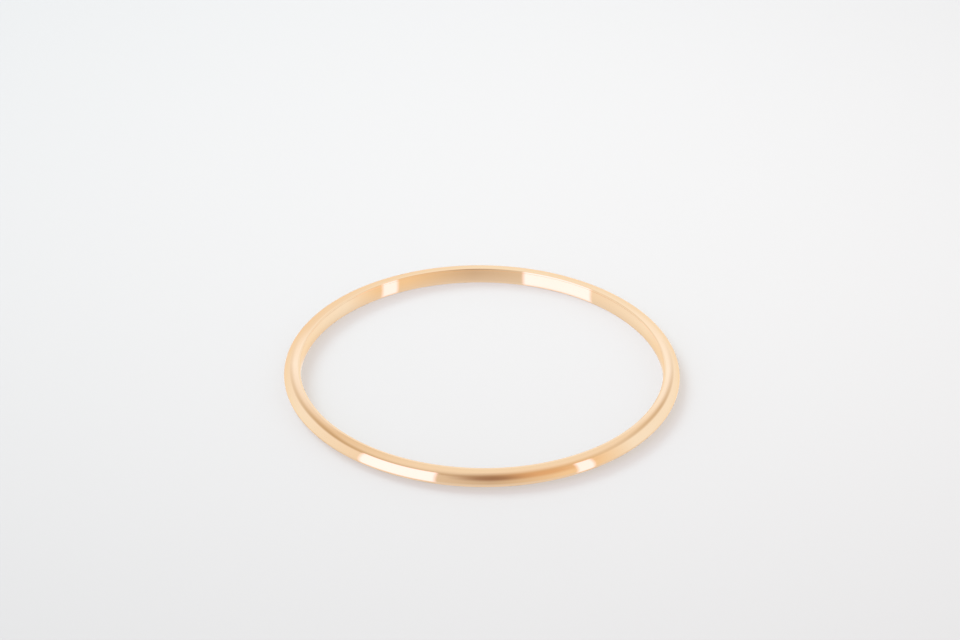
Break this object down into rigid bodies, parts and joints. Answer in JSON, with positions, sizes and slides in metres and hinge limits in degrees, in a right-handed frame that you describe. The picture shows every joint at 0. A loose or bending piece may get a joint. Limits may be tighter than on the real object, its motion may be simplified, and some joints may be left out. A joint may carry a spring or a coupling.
{
  "type": "plain ring",
  "caption": "Plain thin polished gold ring, a slim softly rounded band worn on a finger by itself or stacked with others.",
  "frame": {"origin": "centre of the finger hole, at the level of the surface that the ring lies on", "axes": "+Z along the finger's axis and up from that surface, with X and Y across the finger hole"},
  "size_m": [0.019, 0.019, 0.0008],
  "materials": {
    "gold": "polished"
  },
  "bodies": {
    "root": {"ring_band": "gold"}
  },
  "joints": []
}
